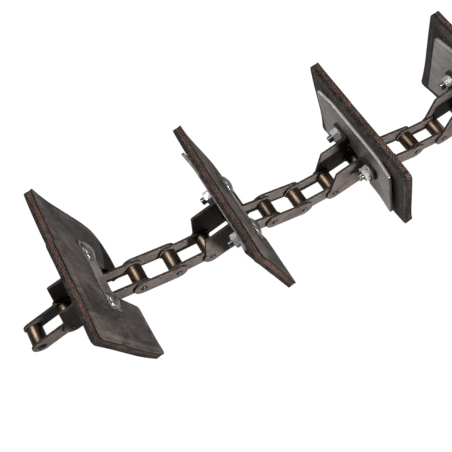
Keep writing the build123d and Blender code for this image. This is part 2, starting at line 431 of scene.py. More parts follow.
# %% Node helpers: adding and joining
class Shader:
    """A new material with one Principled shader, and the means to add nodes and to join them."""

    def __init__(self, name, **sockets):
        self.material = bpy.data.materials.new(name)
        self.material.use_nodes = True
        self.tree = self.material.node_tree
        self.shader = self.tree.nodes["Principled BSDF"]
        for socket, value in sockets.items():
            self.shader.inputs[socket.replace("_", " ")].default_value = value

    def add(self, kind, inputs=(), **settings):
        """Adds a node, with its settings, and joins or sets its inputs by name or number."""
        node = self.tree.nodes.new(kind)
        for key, value in settings.items():
            setattr(node, key, value)
        for key, value in dict(inputs).items():
            self.join(value, node.inputs[key])
        return node

    def join(self, value, socket):
        """Joins a socket to another, or sets a plain value."""
        if isinstance(value, bpy.types.NodeSocket):
            self.tree.links.new(value, socket)
        else:
            socket.default_value = value

    def paint(self, colour, roughness, normal):
        """Joins the finished colour, roughness and relief to the shader."""
        self.join(colour, self.shader.inputs["Base Color"])
        self.join(roughness, self.shader.inputs["Roughness"])
        self.join(normal, self.shader.inputs["Normal"])
        print(f"{self.material.name}: {len(self.tree.nodes)} nodes")
        return self.material


# %% [markdown]
# ### Words for marks, noises, numbers and colours
#
# With one short word for each kind of node, a finish reads like a recipe: a noise, a level
# that picks its high spots, a blend that colours them. Each word gives back a socket, so
# words can stand inside one another.


# %% Node helpers: the words
class Finish(Shader):
    """A material with short words for the nodes that feed its shader."""

    def mark(self, name, kind="Vector"):
        """The vector, or with kind Fac the number, that a mesh carries under a name."""
        return self.add("ShaderNodeAttribute", attribute_name=name).outputs[kind]

    def part_of(self, vector, axis):
        """One number out of a vector."""
        return self.add("ShaderNodeSeparateXYZ", {0: vector}).outputs[axis]

    def scaled(self, vector, scale):
        """A vector with its axes stretched, so that a pattern runs along one of them."""
        inputs = {0: vector, 1: scale}
        return self.add("ShaderNodeVectorMath", inputs, operation="MULTIPLY").outputs[0]

    def noise(self, vector, scale, detail=4.0, rough=0.55, twist=0.0):
        """Soft cloudy noise from 0 to 1. The scale says how many clouds there are to a metre."""
        names = ("Vector", "Scale", "Detail", "Roughness", "Distortion")
        inputs = zip(names, (vector, scale, detail, rough, twist))
        return self.add("ShaderNodeTexNoise", inputs).outputs["Fac"]

    def level(self, value, low, high, to_low=0.0, to_high=1.0):
        """Stretches a range of a number to another range, and stops at its ends."""
        names = ("Value", "From Min", "From Max", "To Min", "To Max")
        inputs = zip(names, (value, low, high, to_low, to_high))
        return self.add("ShaderNodeMapRange", inputs).outputs["Result"]

    def maths(self, rule, a, b=0.0):
        """Two numbers put together by one rule of arithmetic."""
        return self.add("ShaderNodeMath", {0: a, 1: b}, operation=rule).outputs[0]

    def sum(self, a, b):
        """Two numbers added."""
        return self.maths("ADD", a, b)

    def less(self, a, b):
        """The first number less the second."""
        return self.maths("SUBTRACT", a, b)

    def times(self, a, b):
        """Two numbers multiplied. Where both are shares, it is the share that has both."""
        return self.maths("MULTIPLY", a, b)

    def blend(self, share, a, b):
        """From one colour to another, by a share from 0 to 1.

        A Mix node's inputs 6 and 7 are its two colours, and its output 2 is the mixed one."""
        node = self.add("ShaderNodeMix", data_type="RGBA", blend_type="MIX")
        for value, number in ((share, 0), (a, 6), (b, 7)):
            self.join((*value, 1.0) if isinstance(value, tuple) else value, node.inputs[number])
        return node.outputs[2]

    def relief(self, height, depth, under=None):
        """A bump of some depth in metres, on top of another."""
        inputs = {"Height": height, "Distance": depth, "Strength": 1.0}
        if under is not None:
            inputs["Normal"] = under
        return self.add("ShaderNodeBump", inputs).outputs["Normal"]


def shade(colour, share):
    """A colour made darker or lighter."""
    return tuple(share * c for c in colour)


# %% [markdown]
# ### Blackened chain steel
#
# Chain plates are stamped from rolled strip, hardened and oiled. The rolled faces are a dull
# grey-brown that has polished a little where it rubs, and the sheared edges are painted almost
# black, partly as painted shade on edges that face the dim sky. The cut mark on the mesh is 0
# on a face and 1 on the edge, so it picks between the two, and a thin line on the rounded rim
# is painted paler: a painted highlight, with some wear. Faint stains lie over it all. Where
# the mark for wear and painted light rises above 0, the steel is painted paler as a painted
# sheen and highlight, and where it falls below 0, darker as painted shade, with some old grease.


# %% Rolled plate
def plate_steel(name, face, stain, cut, worn_and_highlit, metallic, rough, run, shine):
    """Rolled plate: a stained face, a dark sheared edge, and a pale line on the rim.

    The sheared edge's near-black is partly painted shade, and the pale rim line is a painted
    highlight with some wear. run stretches the rolling lines, and rough is the roughness of
    bright and of dull spots."""
    f = Finish(name, Metallic=metallic, Specular_IOR_Level=shine)
    place, edge = f.mark("grain"), f.mark("edge")
    cloud = f.noise(place, 60.0, 5.0, 0.6, 0.8)
    spots = f.noise(place, 330.0, 5.0, 0.7, 0.6)
    grit = f.noise(place, 1300.0, 3.0, 0.6)
    lines = f.noise(f.scaled(place, run), 900.0, 3.0)
    mixed = f.sum(f.sum(f.times(cloud, 1.2), spots), f.sum(grit, lines))
    colour = f.blend(f.level(mixed, 1.78, 2.32), stain, face)
    blot = f.times(f.level(spots, 0.40, 0.30), f.level(cloud, 0.55, 0.42))
    colour = f.blend(f.times(blot, 0.7), colour, shade(stain, 0.25))
    # The cut colour paints the sheared edges near-black, partly as painted shade on edges that
    # face the dim sky.
    on_cut = f.level(f.part_of(edge, 2), 0.55, 0.95)
    on_rim = f.less(f.level(f.part_of(edge, 2), 0.1, 0.5), on_cut)
    # A painted highlight with some wear: a pale line in spots along the rounded rim.
    rubbed_and_highlit = f.times(on_rim, f.level(spots, 0.42, 0.60))
    # Above 0, the mark for wear and painted light paints a paler tone, on the cut too: a painted
    # sheen and highlight.
    wear_and_painted_light = f.mark("wear_and_painted_light", "Fac")
    colour = f.blend(f.times(wear_and_painted_light, f.level(mixed, 1.7, 2.2, 0.5, 1.0)), colour, worn_and_highlit)
    sheared = f.blend(f.level(f.sum(grit, spots), 0.85, 1.2), cut, shade(cut, 3.5))
    colour = f.blend(on_cut, colour, f.blend(wear_and_painted_light, sheared, worn_and_highlit))
    colour = f.blend(rubbed_and_highlit, colour, worn_and_highlit)
    # Below 0, the same mark paints the steel darker: painted shade, with some old grease.
    grease_and_shade = f.times(f.level(wear_and_painted_light, 0.0, -1.0), f.level(mixed, 1.6, 2.4, 1.0, 0.7))
    colour = f.blend(grease_and_shade, colour, shade(stain, 0.12))
    rough_now = f.level(f.sum(lines, spots), 0.8, 1.25, *rough)
    rough_now = f.sum(rough_now, f.times(on_cut, 0.12))
    return f.paint(colour, rough_now, f.relief(f.sum(spots, f.times(lines, 0.6)), 0.00008))


# %% [markdown]
# ### Three plate steels
#
# The chain plates are dark and hardly shine. The backing plates and the strips are bare,
# brighter steel, and their rolling lines are drawn out across the chain.

# %% Three plate steels
chain_steel = plate_steel(
    "chain_steel",
    face=(0.20, 0.166, 0.150),
    stain=(0.09, 0.07, 0.061),
    cut=(0.017, 0.0135, 0.0115),
    worn_and_highlit=(0.30, 0.25, 0.225),
    metallic=0.0,
    rough=(0.38, 0.58),
    run=(1.0, 1.0, 1.0),
    shine=0.1,
)
backing_steel = plate_steel(
    "backing_steel",
    face=(0.52, 0.48, 0.455),
    stain=(0.24, 0.216, 0.204),
    cut=(0.045, 0.04, 0.036),
    worn_and_highlit=(0.78, 0.74, 0.71),
    metallic=0.8,
    rough=(0.36, 0.52),
    run=(1.0, 0.15, 1.0),
    shine=0.5,
)
strip_steel = plate_steel(
    "strip_steel",
    face=(0.48, 0.43, 0.395),
    stain=(0.20, 0.175, 0.16),
    cut=(0.06, 0.052, 0.046),
    worn_and_highlit=(0.6, 0.56, 0.52),
    metallic=0.75,
    rough=(0.28, 0.45),
    run=(1.0, 0.2, 1.0),
    shine=0.5,
)

# %% [markdown]
# ### Burnished rollers and pins
#
# A roller turns against the sprocket's teeth, which rubs its tempered brown skin into fine
# bands that run round it. The noise is squeezed along the axis and drawn out round it to
# make those bands. The rollers' shoulders are painted near-black: painted shade of the narrow
# gap by the plates, with some grease. The same finish, duller, does for the pins, and their
# flanks are painted nearly black: painted shade, with some dirt. The bushes sit in the plates
# and share the plates' finish, painted near-black all over as a cut.

# %% Steel of the rollers and pins
BAND_STRETCH = (0.25, 6.0, 0.25)


def turned_steel(name, bright, dull, end, metallic, rough):
    """Tempered steel with bands round it, darker where the edge mark is high."""
    f = Finish(name, Metallic=metallic)
    place, edge = f.mark("grain"), f.mark("edge")
    band = f.noise(f.scaled(place, BAND_STRETCH), 220.0, 4.0, 0.6)
    cloud = f.noise(place, 240.0, 5.0, 0.65)
    colour = f.blend(f.level(f.sum(f.times(band, 0.5), cloud), 0.48, 1.0), dull, bright)
    # Where the edge mark is high, the end colour paints near-black: painted shade at roller
    # shoulders and pin flanks, with some dirt.
    colour = f.blend(f.level(f.part_of(edge, 2), 0.3, 0.9), colour, end)
    rough_now = f.level(f.sum(band, cloud), 0.7, 1.3, *rough)
    return f.paint(colour, rough_now, f.relief(f.sum(band, f.times(cloud, 0.4)), 0.00002))


roller_steel = turned_steel(
    "roller_steel",
    bright=(0.135, 0.098, 0.070),
    dull=(0.072, 0.049, 0.034),
    end=(0.012, 0.009, 0.006),
    metallic=0.97,
    rough=(0.34, 0.45),
)
pin_steel = turned_steel(
    "pin_steel",
    bright=(0.26, 0.215, 0.19),
    dull=(0.12, 0.096, 0.083),
    end=(0.006, 0.005, 0.004),
    metallic=0.1,
    rough=(0.4, 0.6),
)

# %% [markdown]
# ### Bright zinc
#
# Plated bolts are the only bright parts. Zinc is nearly white metal with a soft sheen; dust
# and a little grease collect in the threads and under the heads. The bolts have been
# handled and shine more, while the nuts still have the paler, duller skin of new plating.

# %% Zinc of the bolts, nuts and washers
ZINC_SPECK, THREAD_DIRT = (0.16, 0.15, 0.14), (0.06, 0.055, 0.05)


def zinc_coat(name, dull, bright, metallic, rough):
    """Smears from a dull to a bright tone, grey specks, and dirt where the edge mark is high."""
    f = Finish(name, Metallic=metallic)
    place = f.mark("grain")
    smear, speck = f.noise(place, 320.0, 5.0, 0.6, 0.6), f.noise(place, 1500.0, 3.0)
    colour = f.blend(f.level(smear, 0.34, 0.55), dull, bright)
    colour = f.blend(f.level(speck, 0.64, 0.76), colour, ZINC_SPECK)
    in_thread = f.level(f.part_of(f.mark("edge"), 2), 0.2, 0.9)
    colour = f.blend(f.times(in_thread, 0.75), colour, THREAD_DIRT)
    rough_now = f.level(smear, 0.35, 0.65, rough + 0.18, rough)
    return f.paint(colour, rough_now, f.relief(smear, 0.00002))


zinc = zinc_coat("zinc", (0.23, 0.223, 0.216), (0.54, 0.54, 0.525), 1.0, 0.26)
new_zinc = zinc_coat("new_zinc", (0.24, 0.234, 0.228), (0.62, 0.62, 0.605), 0.45, 0.44)

# %% [markdown]
# ### Rubber cut from belting
#
# The flight is a piece of conveyor belt: woven plies of fabric between two rubber covers. Its
# faces are black rubber, dusty and scuffed, with long scrapes where the load has rubbed up
# them and paler lines where the wear mark is high. Three noises of different size do most
# of the work, and the scrapes are one more noise, squeezed sideways.

# %% Rubber: the faces
f = Finish("belting_rubber", Specular_IOR_Level=0.14)
place, edge = f.mark("grain"), f.mark("edge")
run, depth, on_cut = (f.part_of(edge, axis) for axis in range(3))
cloud = f.noise(f.scaled(place, (1.0, 1.0, 0.55)), 30.0, 6.0, 0.62, 1.0)
scuff = f.noise(f.scaled(place, (1.0, 1.7, 0.5)), 105.0, 6.0, 0.7, 1.4)
fine = f.noise(place, 900.0, 4.0, 0.6)
dust = f.level(f.sum(f.times(cloud, 1.6), f.times(scuff, 0.5)), 0.84, 1.30)


def rubber_face():
    """Black rubber under dust, scraped, specked, and paler where it is rubbed."""
    black, dusty, speck = (0.024, 0.020, 0.018), (0.128, 0.108, 0.100), (0.14, 0.12, 0.11)
    scraped, worn_and_highlit = (0.24, 0.205, 0.19), (0.24, 0.20, 0.18)
    face = f.blend(dust, black, dusty)
    scrape = f.noise(f.scaled(place, (1.0, 11.0, 1.3)), 42.0, 3.0, 0.5, 0.3)
    scrape = f.times(f.level(scrape, 0.58, 0.68), f.level(scuff, 0.42, 0.58))
    face = f.blend(f.times(scrape, 0.4), face, scraped)
    face = f.blend(f.level(fine, 0.60, 0.75, 0.0, 0.35), face, speck)
    rubbed_and_highlit = f.times(f.mark("wear_and_painted_light", "Fac"), f.level(f.sum(scuff, cloud), 0.75, 1.15))
    return f.blend(rubbed_and_highlit, face, worn_and_highlit)


face = rubber_face()
print(f"the faces take {len(f.tree.nodes)} nodes")

# %% [markdown]
# ### Plies on the cut edge
#
# The cut edges show how the belt is built: a thick cover behind, plies of reddish fabric
# whose yarn ends look like rows of dots, and a thin, darker cover in front. The edge mark
# gives the run along the cut and the depth through it, so the dots follow the edge round
# every corner. A little noise added to both lets the rows wander as a knife and a worn
# fabric do. Where the wear mark is 1, grime has filled the edge and hides the plies.

# %% Rubber: the cut edge
PLY_PITCH, YARN_PITCH = 1.4, 2.2
PLIES_FROM, PLIES_TO = 3.4, 7.6
RAGGED, DRIFT, LOOSE = 0.0010, 0.0028, 0.0026


def wander(scale, detail, reach):
    """Noise that goes both ways from 0, by up to half of its reach."""
    return f.times(f.less(f.noise(place, scale, detail), 0.5), reach)


def yarn_dots(run, deep):
    """Dots where a wave along the run, a wave through the depth and fine noise add up high.

    The first wave is sin(2 pi run / yarn pitch + 1.7 pi depth / ply pitch), so that the yarns
    of one ply lie beside the gaps of the next. The second is sin(2 pi depth / ply pitch)."""
    along = f.times(run, 2 * np.pi / (YARN_PITCH * MM))
    slanted = f.times(deep, 1.7 * np.pi / (PLY_PITCH * MM))
    yarns = f.maths("SINE", f.sum(along, slanted))
    plies = f.maths("SINE", f.times(deep, 2 * np.pi / (PLY_PITCH * MM)))
    waves = f.sum(yarns, f.times(plies, 0.5))
    return f.level(f.sum(waves, f.times(fine, 2.2)), 1.1, 1.7)


def ply_cloth(dots):
    """Reddish yarn ends in dark fabric, grubbier in patches."""
    dark, yarn = (0.020, 0.010, 0.008), (0.23, 0.134, 0.105)
    dirt, dirty_yarn = (0.016, 0.010, 0.008), (0.105, 0.068, 0.056)
    cloth, grubby = f.blend(dots, dark, yarn), f.blend(dots, dirt, dirty_yarn)
    return f.blend(f.level(cloud, 0.38, 0.58), cloth, grubby)


def rubber_cut(cloth, deep):
    """Cloth between the two covers, which are rubber: (colour, 1 where the plies are)."""
    rear, scuffed, front = (0.008, 0.0068, 0.0062), (0.05, 0.042, 0.038), (0.009, 0.006, 0.005)
    from_cover = f.level(deep, (PLIES_FROM - 0.2) * MM, (PLIES_FROM + 0.2) * MM)
    to_cover = f.level(deep, (PLIES_TO - 0.15) * MM, (PLIES_TO + 0.15) * MM, 1.0, 0.0)
    in_plies = f.times(from_cover, to_cover)
    cover = f.blend(f.level(scuff, 0.42, 0.70), rear, scuffed)
    cover = f.blend(f.less(1.0, to_cover), cover, front)
    grime = f.level(f.mark("wear_and_painted_light", "Fac"), 0.85, 0.98)
    grime = f.times(grime, f.level(scuff, 0.35, 0.55, 1.0, 0.75))
    return f.blend(f.times(in_plies, f.less(1.0, grime)), cover, cloth), in_plies


ragged, drift = wander(420.0, 4.0, RAGGED), wander(14.0, 2.0, DRIFT)
deep = f.sum(f.sum(depth, ragged), drift)
dots = yarn_dots(f.sum(run, wander(750.0, 2.0, LOOSE)), deep)
cut, in_plies = rubber_cut(ply_cloth(dots), deep)
print(f"with the cut edge there are {len(f.tree.nodes)} nodes")

# %% [markdown]
# ### Faces and cut edge together
#
# The last number of the edge mark picks between the two colours. The scuffs give both a
# shallow relief, and on the cut the yarn ends stand up from it.

# %% Rubber: faces and cut edge together
colour = f.blend(f.level(on_cut, 0.75, 0.95), face, cut)
roughness = f.sum(f.level(dust, 0.0, 1.0, 0.5, 0.75), f.times(on_cut, 0.2))
weave = f.times(f.times(dots, in_plies), f.times(on_cut, 0.9))
scuffs = f.relief(f.sum(scuff, f.times(fine, 0.3)), 0.0005)
belting = f.paint(colour, roughness, f.relief(weave, 0.0003, scuffs))

# %% [markdown]
# ## Inner links: two plates, two bushes
#
# An inner plate is a strip with round ends and two holes. Two bushes, short steel tubes,
# hold a pair of plates apart, pressed in flush with their outer faces. The plate's outline is
# a rectangle whose corners are swung round with a radius of half its height.

# %% Sizes of the chain plates, in mm
INNER_HEIGHT, OUTER_HEIGHT = 19.0, 20.0
THICKNESS, RIM = 2.8, 0.45
BUSH_RADIUS, PIN_RADIUS, BORE_RADIUS = 5.0, 3.46, 3.51
# two corners with this share of half the height as radius make a half circle
FULL_ROUND = 0.9999
inner_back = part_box("inner_link_00")[1].y / MM
inner_face = inner_back - THICKNESS
outer_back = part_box("outer_plates_03")[1].y / MM
outer_face = outer_back - THICKNESS
print(f"inner plates from {inner_face:.2f} to {inner_back:.2f} mm")
print(f"outer plates from {outer_face:.2f} to {outer_back:.2f} mm")

# %% Inner links
ROUND_STEPS, PLATE_STEP = 18, 6.0
BUSH_EASE, BUSH_SHORT = 0.02, 0.05


def straight_plate(height, hole):
    """A link plate with a hole at each joint: a rectangle with its corners swung round.

    It ends half its height past both joints, so that its ends run round them."""
    half = height / 2
    corners = [(-half, -half), (PITCH + half, -half), (PITCH + half, half), (-half, half)]
    outline = rounded_path(corners, half * FULL_ROUND, ROUND_STEPS)
    holes = [circle(hole), circle(hole, PITCH)]
    return plate(divided(outline, PLATE_STEP), holes, THICKNESS, RIM)


def ring(inside, outside, low, high, rim=0.35, steps=56):
    """A tube as a closed profile, with its rims rounded and marked as a cut.

    At angle a of a rim, the wall has drawn in by rim (1 - cos a), at rim (1 - sin a) from the
    end."""
    a = np.linspace(0, np.pi / 2, 4)
    drawn_in, from_end = rim * (1 - np.cos(a)), rim * (1 - np.sin(a))
    out = np.column_stack([outside - drawn_in, high - from_end])
    into = np.column_stack([inside + drawn_in, high - from_end])[::-1]
    upper = np.concatenate([out, into])
    centre = (low + high) / 2
    lower = (upper * [1, -1] + [0, 2 * centre])[::-1]
    tube = turned(np.concatenate([upper, lower]), steps, closed=True)
    reach = np.abs(tube["points"][:, 1] - centre)
    return with_cut(tube, reach > (high - low) / 2 - rim * 0.7)


inner_plates = both_sides(upright(straight_plate(INNER_HEIGHT, BUSH_RADIUS), inner_face))
bush_half = inner_back - BUSH_SHORT
# Marked as a cut all over, the bush is painted near-black: painted shade in its bore and at its
# ends.
bush = with_cut(ring(BORE_RADIUS, BUSH_RADIUS - BUSH_EASE, -bush_half, bush_half), 1)
inner_link = join([inner_plates, bush, moved(bush, (PITCH, 0, 0))])
for link in range(0, LINKS, 2):
    make_piece("link_plates", inner_link, link, chain_steel, "inner_link")
print(f"an inner link has {len(inner_link['faces'])} faces")

# %% [markdown]
# ## Rollers
#
# A roller is a curled steel tube, so it has a soft shoulder at each end instead of a sharp
# corner. Its profile is the same closed loop as a bush, with a larger rim. Each one spins on
# a body of its own.

# %% Rollers
ROLLER_RADIUS, ROLLER_BORE, ROLLER_SHOULDER, ROLLER_GAP = 7.94, 5.08, 0.9, 0.2
roller_half = inner_face - ROLLER_GAP
roller = ring(ROLLER_BORE, ROLLER_RADIUS, -roller_half, roller_half, ROLLER_SHOULDER, 72)
for number in range(LINKS + 1):
    make_piece("turned_roller", roller, number, roller_steel, "roller", body="roller")
print(f"{LINKS + 1} rollers of {2 * ROLLER_RADIUS} mm, each with {len(roller['faces'])} faces")

# %% [markdown]
# ## Riveted pins
#
# The pin's end stands a little proud of the plate. Two blows of a punch have sunk a step on
# each side of it, which leaves a bright bar across the middle and spreads the end, so that
# the plate can't come off. The end is a disc in rings; past the step's line, a ring's points
# drop back by the depth of the blow. The steps and the flank are marked as a cut, which
# paints them near-black: painted shade, with some dirt.

# %% Pins
PROUD, CROWN, HIDDEN = 0.9, 0.55, 0.3
STAKE, STAKE_LINE, STAKE_SLOPE = 0.8, 0.8, 0.3
CROWN_STEPS, DISC_RINGS = 5, 11
pin_end = outer_back + PROUD


def pin_profile():
    """A pin's flank, round crown and a disc in rings, and before them their mirror image.

    At angle a the crown has drawn in by CROWN (1 - cos a), at CROWN (1 - sin a) from the end."""
    a = np.linspace(0, np.pi / 2, CROWN_STEPS)
    crown = [PIN_RADIUS - CROWN * (1 - np.cos(a)), pin_end - CROWN * (1 - np.sin(a))]
    crown = np.column_stack(crown)
    radii = np.linspace(crown[-1, 0], 0, DISC_RINGS + 1)[1:]
    disc = np.column_stack([radii, np.full(DISC_RINGS, pin_end)])
    half = np.concatenate([[[PIN_RADIUS, outer_back - HIDDEN]], crown, disc])
    return np.concatenate([half[::-1] * [1, -1], half])


def struck(r, y, a):
    """Sinks two steps: where |r cos a| passes STAKE_LINE, the height falls to the struck level.

    The fall is a smooth step, 3 s^2 - 2 s^3, of the share s of the slope that is passed."""
    share = np.clip((np.abs(r * np.cos(a)) - STAKE_LINE) / STAKE_SLOPE + 0.5, 0, 1)
    share = share * share * (3 - 2 * share)
    floor = pin_end - STAKE
    fallen = np.sign(y) * (np.abs(y) - (np.abs(y) - floor) * share)
    return r + 0 * a, np.where(np.abs(y) > floor, fallen, y)


pin = turned(pin_profile(), 56, cut_by=struck)
reach = np.abs(pin["points"][:, 1])
# The flank and the struck steps are painted near-black: painted shade, with some dirt.
pin = with_cut(pin, (reach > outer_face) & (reach < pin_end - 0.3))
pins = join([pin, moved(pin, (PITCH, 0, 0))])
for link in range(1, LINKS, 2):
    make_piece("riveted_pins", pins, link, pin_steel, "pins")
print(f"a pin reaches {pin_end:.2f} mm from the chain's middle")

# %% [markdown]
# ## Outer links
#
# Outer plates are a touch taller and lie outside the inner ones, tight on the pins. They
# are the inner plate's shape with other numbers, so the same function makes them. The links
# that carry a flight have plates of their own, which come next.

# %% Outer plates
pin_hole = PIN_RADIUS + 0.12
outer_plates = both_sides(upright(straight_plate(OUTER_HEIGHT, pin_hole), outer_face))
plain_links = [link for link in range(1, LINKS, 2) if link not in FLIGHTS]
for link in plain_links:
    make_piece("side_plates", outer_plates, link, chain_steel, "outer_plates")
print(f"plain outer plates on links {plain_links}")

# %% [markdown]
# ## Attachment plates: cut the blank
#
# On every fourth link the outer plate grows a wing, which a press folds outwards into a foot.
# The easy way to model it is the way it is made. First the blank is drawn flat, with its
# width measured along the sheet. Over the coming bend it gets a fine grid of points.

# %% The attachment plates' blank
FLANGE_FACE, FLANGE_REACH = 39.6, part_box("attachment_plates_01")[1].y / MM
WING_TOP, WING_REAR, FLANGE_BOTTOM, BEND = 38.5, 7.0, 18.5, 1.5
# where the wing's rear edge meets the heel, and the angle in degrees that the heel starts at
HEEL_X, HEEL_Z, HEEL_FROM = -4.36, 9.0, 115.8
BOLT_SPREAD, BOLT_HEIGHT, BOLT_HOLE = 27.0, 28.5, 4.25
bend_start = FLANGE_FACE - BEND - THICKNESS
bend_run = (BEND + THICKNESS / 2) * np.pi / 2
blank_end = bend_start + bend_run + FLANGE_REACH - (outer_back + BEND)
bolt_run = blank_end - (FLANGE_REACH - BOLT_SPREAD)


def blank_outline():
    """The blank's corners as (s, z, radius), and a heel that runs round the rear joint.

    The heel is half the plate's height from the joint. Two corners only close the path
    behind it, and its arc takes their place."""
    half = OUTER_HEIGHT / 2
    corners = np.array([
        (PITCH + half, -half, half * FULL_ROUND),
        (PITCH + half, half, half * FULL_ROUND),
        (bend_start, half, 0.8),
        (bend_start, FLANGE_BOTTOM, 1.0),
        (blank_end, FLANGE_BOTTOM, 4.0),
        (blank_end, WING_TOP, 4.0),
        (WING_REAR, WING_TOP, 3.0),
        (HEEL_X, HEEL_Z, 0.01),
        (HEEL_X, -half, 0.01),
    ])
    path = rounded_path(corners[:, :2], corners[:, 2], 12)
    a = np.radians(np.linspace(HEEL_FROM, 270, 22))
    heel = half * np.column_stack([np.cos(a), np.sin(a)])
    return np.concatenate([path[path[:, 0] > HEEL_X + 0.06], heel])


def points_on_bend(margin=0.4, from_rims=1.2):
    """A grid of points over the bend, 9 across it by 14 along it, so that the fold is round."""
    across = np.linspace(bend_start - margin, bend_start + bend_run + margin, 9)
    along = np.linspace(FLANGE_BOTTOM + from_rims, WING_TOP - from_rims, 14)
    return np.stack(np.meshgrid(across, along), axis=-1).reshape(-1, 2)


print(f"the blank is {blank_end:.1f} mm long before folding")

# %% [markdown]
# ### Fold the blank
#
# Up to the bend each point stays, inside the bend it runs round an arc, and past it it goes
# straight out to the side. Points on the outside of the bend stretch and those on the inside
# shrink, as the sheet does. The wing is painted darker towards the fold: painted shade of the
# pad in front of it, with some old grease, and the mark for wear and painted light says where.


# %% Folding the blank
def folded(part):
    """Folds the blank (s, z, t) by an angle a, from 0 at the bend's start to a quarter turn.

    x = start + r sin a and y = centre - r cos a, with r from the bend's centre to the point,
    and past the bend y grows by what is left of s."""
    s, z, t = part["points"].T
    r = BEND + THICKNESS - t
    a = np.clip(s - bend_start, 0, bend_run) / bend_run * np.pi / 2
    beyond = np.maximum(s - bend_start - bend_run, 0)
    x = np.minimum(s, bend_start) + r * np.sin(a)
    y = outer_back + BEND - r * np.cos(a) + beyond
    return {**part, "points": np.stack([x, y, z], axis=1)}


def fold_shade_and_grease(part):
    """Marks painted shade with some grease on the wing: more near the fold, none low on the plate.
    """
    x, y, z = part["points"].T
    # The negative mark paints the wing darker near the fold: painted shade, with some grease.
    return {**part, "wear_and_painted_light": -0.85 * ramp(x, 19, 34) * ramp(z, 6, 15)}


holes = [circle(pin_hole), circle(pin_hole, PITCH), circle(BOLT_HOLE, bolt_run, BOLT_HEIGHT)]
blank = plate(divided(blank_outline(), 1.4), holes, THICKNESS, RIM, inner=points_on_bend())
attachment = both_sides(fold_shade_and_grease(folded(blank)))
for link in FLIGHTS:
    make_piece("bent_plates", attachment, link, chain_steel, "attachment_plates")
print(f"a pair of attachment plates has {len(attachment['faces'])} faces")

# %% [markdown]
# ## Flights: one outline for the steel and the rubber
#
# The backing plate and the pad have the same form seen along the chain, a rectangle with a
# notch that lets the chain through. Both are drawn flat in Y and Z and stood across the
# chain. Their faces get an even grid of points inside, since both are bent afterwards.

# %% Helpers for the flights
NOTCH_TOP, NOTCH_LIP, NOTCH_ROUND = 18.0, 1.0, 4.0
BOLTS = [(-BOLT_SPREAD, BOLT_HEIGHT), (BOLT_SPREAD, BOLT_HEIGHT)]


def flight_outline(half, bottom, top, rounds, notch):
    """The outline of a flight seen along the chain, anticlockwise, with a notch from below.

    rounds are the corners' radii: near high, near low, far low, far high."""
    corners = [(-half, top), (-half, bottom), (-notch, bottom), (-notch, NOTCH_TOP)]
    corners += [(notch, NOTCH_TOP), (notch, bottom), (half, bottom), (half, top)]
    in_notch = (NOTCH_LIP, NOTCH_ROUND, NOTCH_ROUND, NOTCH_LIP)
    return rounded_path(corners, (*rounds[:2], *in_notch, *rounds[2:]), 7)


def grid_inside(half, bottom, top, step, notch, margin=2.5, from_bolt=8.0):
    """Evenly spaced points inside a flight's outline, clear of its notch and its bolts."""
    y = np.arange(-half + margin, half - margin + 0.01, step)
    z = np.arange(bottom + margin, top - margin + 0.01, step)
    y, z = (v.ravel() for v in np.meshgrid(y, z))
    clear = (np.abs(y) > notch + margin) | (z > NOTCH_TOP + margin)
    clear &= np.hypot(np.abs(y) - BOLT_SPREAD, z - BOLT_HEIGHT) > from_bolt
    return np.column_stack([y, z])[clear]


def facing(part, rear):
    """Stands a plate across the chain: s becomes Y, and the depth becomes X from its rear face."""
    y, z, t = part["points"].T
    return {**part, "points": np.stack([rear + t, y, z], axis=1)}


# %% [markdown]
# ## Backing plates
#
# A sheared steel plate spreads the load into the rubber. Its two ends are bent back a little,
# so that they stand off the pad. It is drawn flat, and each end then swings back about a soft
# bend. The ends are painted paler as a painted sheen, and on the upper flights the top edge
# as a painted highlight. The middle is painted darker: painted shade of the wings, with some
# grease from the chain.

# %% Backing plates
BACKING, BACKING_RIM = 3.0, 0.4
BACKING_HALF, BACKING_BOTTOM, BACKING_TOP, BACKING_NOTCH = 59.9, -25.5, 72.5, 19.0
LEAN, LEAN_FROM, LEAN_RADIUS = np.radians(6.0), 37.0, 30.0


def ends_back(part):
    """Swings the ends back by an angle that grows over the bend, from 0 to the full lean.

    The near face falls by radius (1 - cos a) over the bend and by sin(lean) for each mm past
    it. A point's depth is laid off along the turned face, and half as far outwards."""
    x, y, z = part["points"].T
    past = np.maximum(np.abs(y) - LEAN_FROM + LEAN_RADIUS * LEAN / 2, 0)
    a = np.minimum(past / LEAN_RADIUS, LEAN)
    beyond = np.maximum(past - LEAN_RADIUS * LEAN, 0)
    drop = LEAN_RADIUS * (1 - np.cos(a)) + beyond * np.sin(LEAN)
    depth = x - FLANGE_FACE
    x, y = FLANGE_FACE - drop + depth * np.cos(a), y + np.sign(y) * depth * np.sin(a) * 0.5
    return {**part, "points": np.stack([x, y, z], axis=1)}


def painted_light_and_grease(part, link):
    """Painted sheen on the ends' faces, a painted highlight on the upper flights' top edge, and
    painted shade with some grease in the middle.

    Each is its strength times a ramp across the plate, and the shade's has one up it too."""
    x, y, z = part["points"].T
    # A painted sheen on the ends' faces, and on the upper flights a painted highlight on the top
    # edge.
    rubbed_and_highlit = 0.35 * ramp(np.abs(y), 30, 44) * (part["edge"][:, 2] < 0.5)
    if link in UPPER_FLIGHTS:
        rubbed_and_highlit = np.maximum(rubbed_and_highlit, 0.35 * (z > BACKING_TOP - 1))
    # Painted shade of the wings, with some grease, darkens the middle.
    shade_and_grease = -0.5 * ramp(np.abs(y), 29, 15) * ramp(z, 60, 40)
    return {**part, "wear_and_painted_light": rubbed_and_highlit + shade_and_grease}


